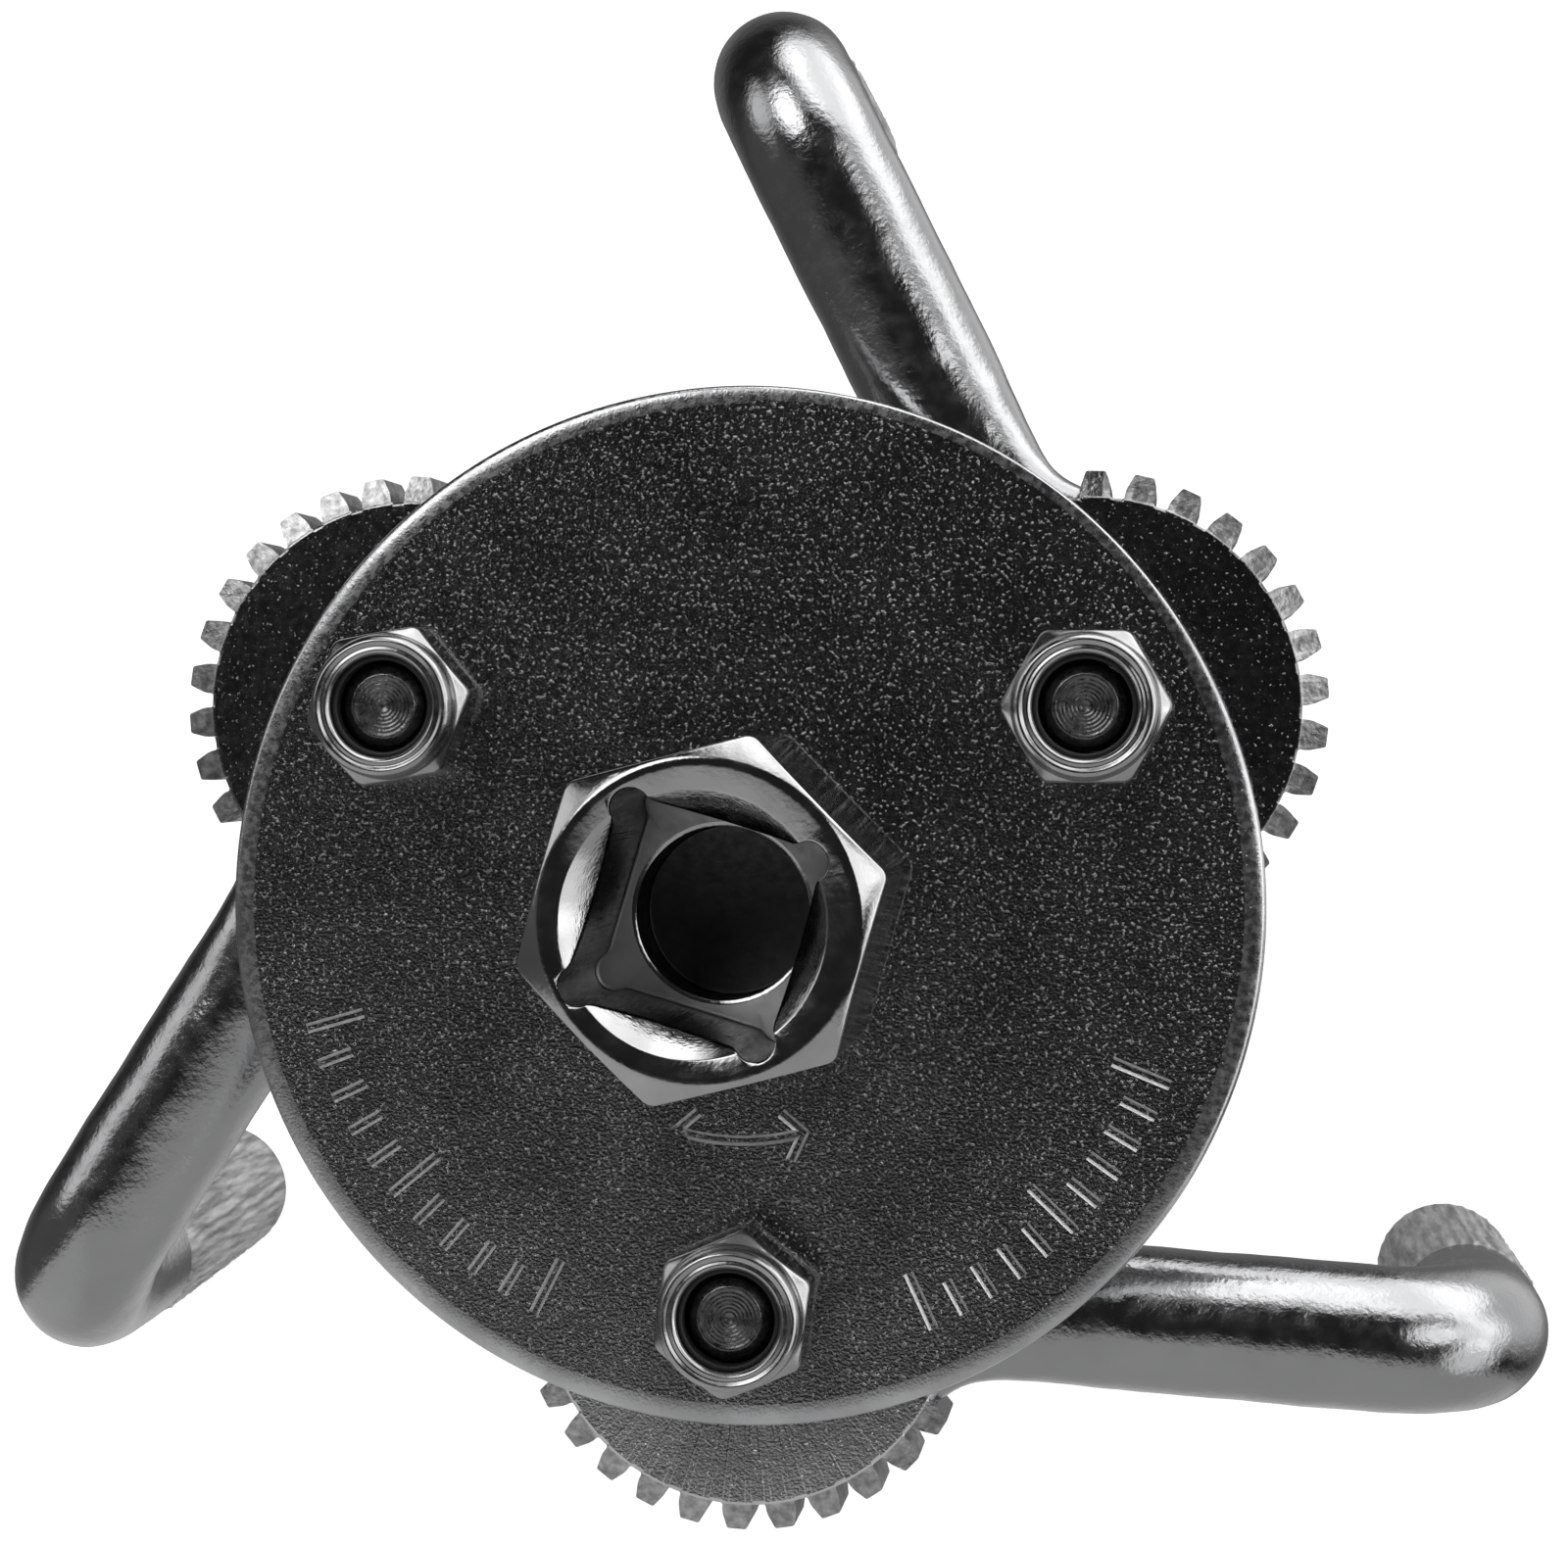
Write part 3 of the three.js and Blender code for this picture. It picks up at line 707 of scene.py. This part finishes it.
def make_spindle():
    """The spindle in one turned shell: stem, hexagon, countersink, socket and pilot hole."""
    hex_corners = [DRIVE_HEX_TURN + 60 * i for i in range(6)]
    ears = [SOCKET_TURN + 90 * i for i in range(4)]
    angles = angle_grid(1.5, hex_corners, 4, 0.4)
    angles = np.unique(np.concatenate([angles, angle_grid(30, ears, 12.0, 0.5)]))
    hexagon = polygon_radius(angles, 6, DRIVE_HEX, DRIVE_HEX_TURN, 1.0)
    shank = np.minimum(polygon_radius(angles, 4, 10, 45, 0.4), 6.8)
    socket = socket_radius(angles)
    throat = np.maximum(socket + 0.14, SOCKET_THROAT)
    mouth_edge = np.minimum(mouth_height(socket - 1e-6), mouth_height(throat) - 0.14)
    floor = DRIVE_TOP - SOCKET_DEPTH
    pilot_floor = DRIVE_TOP - PILOT_DEPTH
    profile = [
        (0, 0, 0),
        (4.2, 0, 0.12),
        (4.7, 0.5, 0.12),
        (4.7, 2, 0.08),
        (4, 2, 0.08),
        (4, 3.2, 0.08),
        (4.7, 3.2, 0.08),
        (4.7, 4.6, 0.08),
        (shank, 4.6, 0.2),
        (shank, PLATE_BASE + 0.1, 0.1),
        (7, PLATE_BASE + 0.1, 0.2),
        (7, DRIVE_BASE, 0.1),
        (hexagon, DRIVE_BASE, 0.2),
        (hexagon, hex_chamfer(hexagon, DRIVE_FACE_RADIUS, DRIVE_TOP), 0.18),
        (DRIVE_FACE_RADIUS, DRIVE_TOP, 0.16),
        (SOCKET_MOUTH, DRIVE_TOP, 0.14),
        (throat, mouth_height(throat), 0.1, 1),
        (socket, mouth_edge, 0.24, 1),
        (socket, floor, 0.25, 1),
        (PILOT_RADIUS + 0.3, floor, 0, 1),
        (PILOT_RADIUS, floor - 0.11, 0.03, 1),
        (PILOT_RADIUS, pilot_floor, 0.2, 1),
        (0, pilot_floor, 0, 1),
    ]

    def paint(centre, normal):
        """Chrome outside and on the mouth, duller metal down in the socket: the milled seat, and
        painted shade on the walls and in the pilot hole.
        """
        if centre.z < pilot_floor - 0.1 or math.hypot(centre.x, centre.y) > 9.9:
            return 0
        # Below the seat lies the pilot hole, in dark metal as painted shade.
        if centre.z < floor - 0.12:
            return 2
        if centre.z < floor + 0.12:
            return 0 if centre.z < floor - 0.01 else 1
        # The socket's walls take the dark metal: painted shade.
        return 3 if abs(normal.z) < 0.2 and centre.z < DRIVE_TOP - 0.3 else 0

    body = revolve(profile, angles, SOCKET_OFFSET)
    metals = [CHROME, SEAT_METAL, BORE_SHADE_METAL, SOCKET_WALL_SHADE_METAL]
    spindle = make_mesh("drive_spindle_fine", [body], metals, place((0, 0), 0), paint)
    finish_piece(spindle, "drive_spindle", "drive", sharp=50)


def make_sun_gear():
    """The gear on the spindle's square, turned so that a gap meets each head's tooth."""
    gap = PIVOT_ANGLES[0] - MESH_PHASE * LEG_TEETH / SUN_TEETH
    centres = [gap + 360 * (tooth + 0.5) / SUN_TEETH for tooth in range(SUN_TEETH)]
    angles, outline = gear_outline(SUN_TEETH, -PROFILE_SHIFT, -TOOTH_GIFT, centres)
    bore = polygon_radius(angles, 4, 10.2, 45, 0.3)
    profile = [
        (bore, GEAR_BASE, 0),
        (outline, GEAR_BASE, 0.15),
        (outline, GEAR_TOP, 0.15),
        (bore, GEAR_TOP, 0.1),
        (bore, GEAR_BASE, 0),
    ]
    gear = make_mesh("sun_gear_fine", [revolve(profile, angles)], [GEAR_METAL], place((0, 0), 0))
    finish_piece(gear, "sun_gear", "drive")


def make_washer():
    low, high = WASHER_LOW[2], WASHER_HIGH[2]
    profile = [
        (4.86, low, 0),
        (7.48, low, 0.12),
        (7.48, high, 0.25),
        (4.86, high, 0.1),
        (4.86, low, 0),
    ]
    disc = revolve(profile, angle_grid(3))
    washer = make_mesh("spindle_washer_fine", [disc], [ZINC], place((0, 0), 0))
    finish_piece(washer, "spindle_washer", "drive")


def make_retaining_ring():
    """A stamped spring ring: a rounded rectangle swept round the groove and left open."""
    low, high = RING_LOW[2], RING_HIGH[2]
    section = [(4.17, low), (5.98, low), (5.98, high), (4.17, high)]
    looped = [section[-1], *section, section[0]]
    points = [np.array([corner]) for corner in looped]
    outline = np.array(round_corners(points, [0] + [0.14] * 4 + [0]))[1:-1, 0]
    rings = []
    for angle in np.radians(np.linspace(28, 332, 90)):
        radius, height = outline[:, 0], outline[:, 1]
        rings.append(np.stack([radius * math.cos(angle), radius * math.sin(angle), height], -1))
    loop = shell(rings, capped=True)
    ring = make_mesh("retaining_ring_fine", [loop], [SPRING], place((0, 0), 0))
    finish_piece(ring, "retaining_ring", "drive")


# ---- Legs ------------------------------------------------------------------------------

DISC_EDGE = 14.3  # radius where the head's blasted face ends and the teeth slope down
TOOTH_SLOPE = 0.27
SKIN = 180  # points round a section of the leg
KNURL_RIDGES = 33
FOOT_START = 55  # distance along the leg at the end of the bend, for the skin's pattern
FOOT_END = FOOT_START + FOOT_LENGTH - 0.6

# Distance from the pivot, half width, lower and upper height, squareness of the section.
NECK = [
    (9, 8.2, 5.3, 10.4, 4),
    (13, 6.8, 5, 10.4, 4),
    (15, 5.1, 4.2, 10.35, 3.4),
    (17, 4.7, 3, 10.3, 2.8),
    (20, 4.8, 1.5, 10.3, 2.4),
    (24, 4.9, 0.6, 10.35, 2.1),
    (27, BAR_RADIUS, BAR_AXIS - BAR_RADIUS, BAR_AXIS + BAR_RADIUS, 2),
]


def leg_head():
    """The toothed disc: teeth all round, except where the leg leaves it."""
    pitch = 360 / LEG_TEETH
    last = -FIRST_TOOTH - pitch * (LEG_TOOTH_COUNT - 1)
    centres = [last + pitch * tooth for tooth in range(LEG_TOOTH_COUNT)]
    plain = np.linspace(-FIRST_TOOTH + 0.46 * pitch, 360 + last - 0.46 * pitch, 18)
    angles, outline = gear_outline(LEG_TEETH, PROFILE_SHIFT, TOOTH_GIFT, centres, plain)
    shoulder = np.minimum(outline, DISC_EDGE)
    shoulder_height = GEAR_TOP - 0.12
    profile = [
        (3.1, GEAR_BASE, 0),
        (outline - 0.01, GEAR_BASE, 0.15),
        (outline, shoulder_height - (outline - shoulder) * TOOTH_SLOPE, 0),
        (shoulder, shoulder_height, 0),
        (shoulder - 0.2, GEAR_TOP, 0.1),
        (3.1, GEAR_TOP, 0.15),
        (3.1, GEAR_BASE, 0),
    ]
    return revolve(profile, angles)


def ripple(along, around):
    """Slow unevenness of a hand-fed forging, in millimetres."""
    slow = np.sin(along * 0.55 + 2 * around) + np.sin(along * 0.9 - 3 * around + 1.3)
    quick = np.sin(along * 2.3 + 5 * around + 0.4) + np.sin(along * 1.7 - 7 * around)
    return 0.018 * slow + 0.008 * quick


def section(x, z, half_width, half_height, squareness, pitch, along, relief=None):
    """One cross-section of the leg, whose direction has turned down from +X by pitch degrees."""
    around = np.linspace(0, 2 * math.pi, SKIN, endpoint=False)
    power = 2 / squareness
    across = np.sign(np.cos(around)) * np.abs(np.cos(around)) ** power
    up = np.sign(np.sin(around)) * np.abs(np.sin(around)) ** power
    extra = ripple(along, around) if relief is None else relief(around, along)
    across = across * (half_width + extra)
    up = up * (half_height + extra)
    bend = math.radians(pitch)
    return np.stack([x + up * math.sin(bend), across, z + up * math.cos(bend)], -1)


def neck_sections():
    """The forged neck, from inside the head to the round bar, with its steps smoothed."""
    table = np.array(NECK)
    x = np.arange(table[0, 0], table[-1, 0] + 0.1, 0.5)
    window = np.ones(5) / 5
    columns = []
    for column in table.T[1:]:
        even = np.pad(np.interp(x, table[:, 0], column), 2, mode="edge")
        columns.append(np.convolve(even, window, "valid"))
    for at, half_width, low, high, squareness in zip(x, *columns):
        height = (high - low) / 2
        yield section(at, (low + high) / 2, half_width, height, squareness, 0, at)


def knurl_relief(around, along):
    """Rolled ridges along the foot, uneven, broken in places and fading out at the end."""
    wave = 0.5 * np.sin(along * 0.8) + 0.9 * np.sin(3 * around + 1.0)
    wave += 0.5 * np.sin(along * 1.9 + 7 * around)
    ridge = np.sin(KNURL_RIDGES * around + wave)
    bite = np.sin(5.2 * along + 2.5 * np.sin(5 * around)) + 0.7 * np.sin(3.7 * along + 13 * around)
    depth = 0.15 * (0.6 + 0.28 * bite) * min(1, max(0, FOOT_END - along) / 1.6)
    return -0.1 + depth * ridge


def plain_end(around, along):
    """The rounded end of a foot carries no pattern."""
    return 0 * around


def leg_bar(lean):
    """Neck, bar, bend and foot as one skin; the foot leans in by the given angle."""
    rings = list(neck_sections())
    round_bar = (BAR_RADIUS, BAR_RADIUS, 2)
    start = NECK[-1][0]
    for x in np.arange(start + 1, LEG_REACH - BEND_RADIUS, 1.0):
        rings.append(section(x, BAR_AXIS, *round_bar, 0, x))
    for pitch in np.linspace(0, 90 + lean, 26):
        x = LEG_REACH - BEND_RADIUS + BEND_RADIUS * math.sin(math.radians(pitch))
        z = BAR_AXIS - BEND_RADIUS + BEND_RADIUS * math.cos(math.radians(pitch))
        rings.append(section(x, z, *round_bar, pitch, 42 + pitch * 0.14))
    down = np.array([-math.sin(math.radians(lean)), -math.cos(math.radians(lean))])
    spot = np.array([x, z])

    def foot(drop, radius, relief=None):
        at = spot + down * drop
        return section(at[0], at[1], radius, radius, 2, 90 + lean, FOOT_START + drop, relief)

    rings += [foot(drop, BAR_RADIUS) for drop in (1.3, 2.6, KNURL_DROP - 0.1)]
    rings.append(foot(KNURL_DROP, BAR_RADIUS - 0.04))
    for drop in np.arange(KNURL_DROP + 0.35, FOOT_LENGTH - 0.6, 0.5):
        rings.append(foot(drop, KNURL_RADIUS, knurl_relief))
    rings.append(foot(FOOT_LENGTH - 0.45, KNURL_RADIUS - 0.2, plain_end))
    rings.append(foot(FOOT_LENGTH - 0.1, KNURL_RADIUS - 0.5, plain_end))
    rings.append(foot(FOOT_LENGTH, KNURL_RADIUS - 0.75, plain_end))
    rings.append(foot(FOOT_LENGTH, 0.001, plain_end))
    return shell(rings, capped=True)


def turned_shell(shape, degrees):
    points, faces = shape
    cosine, sine = math.cos(math.radians(degrees)), math.sin(math.radians(degrees))
    turn = np.array([[cosine, sine, 0], [-sine, cosine, 0], [0, 0, 1]])
    return points @ turn, faces


def leg_paint(centre, normal):
    """Nickel, except on the knurled foot, the teeth and the head's blasted face, whose grey per leg
    is painted light and shade.
    """
    radius = math.hypot(centre.x, centre.y)
    if centre.z < BAR_AXIS - BEND_RADIUS - KNURL_DROP:
        return 1
    if DISC_EDGE - 0.12 < radius < 16.2 and GEAR_BASE - 0.01 < centre.z < GEAR_TOP:
        return 2 if centre.x < 12 or abs(centre.y) > 7.2 else 0
    if centre.z > GEAR_TOP - 0.3 and radius < DISC_EDGE:
        return 3
    return 0


def make_leg(index):
    head_turn = HEAD_PLAY[index] - LEG_PLAY[index]
    shells = [turned_shell(leg_head(), head_turn), leg_bar(FOOT_LEANS[index])]
    where = place(PIVOTS[index], PIVOT_ANGLES[index] + LEG_SWING + LEG_PLAY[index])
    # The last metal is this head's face, its grey painted light and shade.
    metals = [NICKEL, KNURL_METAL, TOOTH_METAL, DISC_METALS_LIT_AND_SHADED[index]]
    leg = make_mesh(f"leg_{index + 1}_fine", shells, metals, where, leg_paint)
    finish_piece(leg, f"leg_{index + 1}", LEG_BODIES[index], sharp=45)


# ---- Bolts, nuts and inserts --------------------------------------------------------------


def make_bolt(index):
    """A hexagon head below the leg, and the end that shows inside the nut."""
    head_base, end = BOLT_LOW[2], BOLT_HIGH[2]
    angles = angle_grid(3, [60 * i for i in range(6)], 3, 1)
    hexagon = polygon_radius(angles, 6, BOLT_HEX, 0, 0.35)
    chamfer = head_base + (hexagon - 4.8) * math.tan(math.radians(30))
    profile = [
        (0, head_base + 0.2, 0),
        (3.4, head_base + 0.2, 0.2),
        (3.7, head_base, 0.15),
        (4.8, head_base, 0.15),
        (hexagon, chamfer, 0.15),
        (hexagon, head_base + 4, 0.2),
        (3, head_base + 4, 0.2),
        (3, end - 1.0, 0.05),
        (2.75, end - 0.72, 0.05),
        (2.7, end - 0.5, 0.05),
        (2.35, end - 0.2, 0.05),
        (2.11, end, 0.1),
    ]
    # The parting tool left a shallow spiral that reads as rings, round a torn centre.
    for ring, radius in enumerate(np.arange(1.95, 0.2, -0.13)):
        profile.append((radius, end - 0.03 - 0.035 * (ring % 2) - 0.01 * ring, 0.02))
    profile.append((0, end - 0.3, 0))
    where = place(PIVOTS[index], PIVOT_ANGLES[index])
    name = f"pivot_bolt_{index + 1}"
    bolt = make_mesh(f"{name}_fine", [revolve(profile, angles)], [BOLT_METAL], where)
    finish_piece(bolt, name, "plate")


def make_nut(index):
    """A lock nut: chamfered hexagon, and a collar rolled over the nylon ring."""
    angles = angle_grid(2.5, [60 * i for i in range(6)], 6, 1)
    hexagon = polygon_radius(angles, 6, BOLT_HEX, 0, 0.9)
    hex_top = NUT_BASE + 4.1
    foot = NUT_BASE + (hexagon - 4.7) * math.tan(math.radians(25))
    profile = [
        (3.12, NUT_BASE, 0),
        (4.7, NUT_BASE, 0.15),
        (hexagon, foot, 0.2),
        (hexagon, hex_chamfer(hexagon, 4.7, hex_top), 0.3),
        (4.92, hex_top - 0.05, 0.1),
        (4.84, hex_top + 0.1, 0.1),
        (4.8, NUT_TOP - 0.5, 0.4),
        (4.38, NUT_TOP, 0.3),
        (4.02, NUT_TOP - 0.26, 0.1),
        (3.72, NUT_TOP - 0.14, 0.1),
        (3.5, NUT_TOP - 0.32, 0.1),
        (3.38, NUT_TOP - 0.55, 0.12),
        (3.85, NUT_TOP - 0.7, 0.1),
        (3.85, NUT_BASE + 3.6, 0.05),
        (3.12, NUT_BASE + 3.6, 0.05),
        (3.12, NUT_BASE, 0),
    ]
    where = place(PIVOTS[index], NUT_TURNS[index])
    name = f"lock_nut_{index + 1}"
    nut = make_mesh(f"{name}_fine", [revolve(profile, angles)], [ZINC], where)
    finish_piece(nut, name, "plate", sharp=50)


def make_insert(index):
    """The nylon ring inside a nut's collar."""
    low, high = NYLON_LOW[2], NYLON_HIGH[2]
    profile = [
        (3.08, low, 0),
        (3.68, low, 0.1),
        (3.68, high - 0.2, 0.1),
        (3.35, high, 0.12),
        (3.08, high - 0.05, 0.1),
        (3.08, low, 0),
    ]
    where = place(PIVOTS[index], NUT_TURNS[index])
    name = f"nylon_insert_{index + 1}"
    insert = make_mesh(f"{name}_fine", [revolve(profile, angle_grid(5))], [NYLON], where)
    finish_piece(insert, name, "plate")


make_plate()
make_spindle()
make_sun_gear()
make_washer()
make_retaining_ring()
for number in range(3):
    make_leg(number)
    make_bolt(number)
    make_nut(number)
    make_insert(number)

# ---- Floor, light and camera -------------------------------------------------------------

FLOOR_RADIUS = 3.0  # metres
FLOOR_GAP = 0.0005  # below the feet

CAMERA_PLACE = (31.50, 11.77, 240.87)  # millimetres
CAMERA_AHEAD = (-0.124656, -0.011780, -0.992130)
CAMERA_UP = (-0.002488, 0.999930, -0.011560)
CAMERA_LENS = 77.99  # for a sensor 36 mm wide

# Soft panels round the studio: azimuth, elevation, inner and outer half angle, strength.
PANELS = [
    (128, 45, 10, 22, 2.5),
    (20, 44, 8, 19, 1.6),
    (66, 4, 24, 42, 1.7),
    (94, 6, 8, 18, 0.9),
    (84, 32, 6, 18, 0.6),
    (12, 12, 10, 28, 1.4),
    (-19, 18, 10, 24, 1.1),
    (157, 17, 5, 21, 0.9),
    (-152, 10, 30, 60, 0.08),
    (28, -25, 20, 50, 0.75),
    (0, -90, 20, 65, 0.17),
]
DARK_LEVEL = 0.02
WALL_LEVEL = 0.42  # a plain grey wall and ceiling on the near side
WALL_SIDE = (-0.300, -0.954, 0)  # towards that wall
WALL_RISE = (0.17, 0.4)  # how far towards the wall its grey starts and is full
WALL_MIDDLE = (0.469, -0.883, 0)  # along the wall, away from its left end
WALL_END = (-0.08, 0.04)  # the same, across that end


def studio_sheet(name, points, faces, glow):
    """A sheet of white paper that lights itself and is not mirrored by the metal."""
    mesh = bpy.data.meshes.new(name)
    mesh.from_pydata(points, [], faces)
    sheet = bpy.data.objects.new(name, mesh)
    bpy.context.scene.collection.objects.link(sheet)
    paper = bpy.data.materials.new(f"{name}_paper")
    paper.use_nodes = True
    surface = paper.node_tree.nodes["Principled BSDF"]
    surface.inputs["Base Color"].default_value = (0.9, 0.9, 0.9, 1)
    surface.inputs["Roughness"].default_value = 0.9
    surface.inputs["Specular IOR Level"].default_value = 0.1
    surface.inputs["Emission Color"].default_value = (1, 1, 1, 1)
    surface.inputs["Emission Strength"].default_value = glow
    mesh.materials.append(paper)
    sheet.visible_glossy = False
    return sheet


def make_floor():
    """A floor, and a round backdrop that only the camera sees."""
    level = cad_low[2] - FLOOR_GAP
    around = np.radians(np.arange(0, 360, 5))
    ring = [(FLOOR_RADIUS * math.cos(a), FLOOR_RADIUS * math.sin(a)) for a in around]
    count = len(ring)
    studio_sheet("floor", [(x, y, level) for x, y in ring], [tuple(range(count))], 0.75)
    points = [(x, y, z) for z in (level, level + FLOOR_RADIUS) for x, y in ring]
    sides = [(i, (i + 1) % count, count + (i + 1) % count, count + i) for i in range(count)]
    backdrop = studio_sheet("backdrop", points, sides, 1.0)
    backdrop.visible_diffuse = False
    backdrop.visible_shadow = False


def make_world():
    """A dark studio with soft panels, seen by the metal as reflections."""
    world = bpy.data.worlds.new("studio")
    bpy.context.scene.world = world
    world.use_nodes = True
    tree = world.node_tree
    direction = tree.nodes.new("ShaderNodeTexCoord").outputs["Generated"]

    def spread(towards, start, end, level):
        """A level that rises smoothly as the direction turns towards a given one."""
        dot = tree.nodes.new("ShaderNodeVectorMath")
        dot.operation = "DOT_PRODUCT"
        dot.inputs[1].default_value = towards
        tree.links.new(direction, dot.inputs[0])
        rise = tree.nodes.new("ShaderNodeMapRange")
        rise.interpolation_type = "SMOOTHSTEP"
        rise.inputs["From Min"].default_value = start
        rise.inputs["From Max"].default_value = end
        rise.inputs["To Max"].default_value = level
        tree.links.new(dot.outputs["Value"], rise.inputs["Value"])
        return rise.outputs["Result"]

    wall = tree.nodes.new("ShaderNodeMath")
    wall.operation = "MULTIPLY_ADD"
    tree.links.new(spread(WALL_SIDE, *WALL_RISE, WALL_LEVEL), wall.inputs[0])
    tree.links.new(spread(WALL_MIDDLE, *WALL_END, 1), wall.inputs[1])
    wall.inputs[2].default_value = DARK_LEVEL
    total = wall.outputs["Value"]
    for azimuth, elevation, inner, outer, strength in PANELS:
        a, e = math.radians(azimuth), math.radians(elevation)
        towards = (math.cos(a) * math.cos(e), math.sin(a) * math.cos(e), math.sin(e))
        edges = math.cos(math.radians(outer)), math.cos(math.radians(inner))
        add = tree.nodes.new("ShaderNodeMath")
        tree.links.new(total, add.inputs[0])
        tree.links.new(spread(towards, *edges, strength), add.inputs[1])
        total = add.outputs["Value"]
    tree.links.new(total, tree.nodes["Background"].inputs["Strength"])
    tree.nodes["Background"].inputs["Color"].default_value = (1, 1, 1, 1)


def make_camera():
    """Above the plate and slightly to its right, looking almost straight down."""
    data = bpy.data.cameras.new("camera")
    data.lens = CAMERA_LENS
    data.sensor_width = 36
    camera = bpy.data.objects.new("camera", data)
    bpy.context.scene.collection.objects.link(camera)
    ahead = Vector(CAMERA_AHEAD).normalized()
    up = Vector(CAMERA_UP).normalized()
    right = ahead.cross(up).normalized()
    turn = Matrix((right, up, -ahead)).transposed().to_4x4()
    camera.matrix_world = Matrix.Translation(Vector(CAMERA_PLACE) * MM) @ turn
    bpy.context.scene.camera = camera


make_floor()
make_world()
make_camera()
bpy.context.scene.view_settings.view_transform = "Standard"
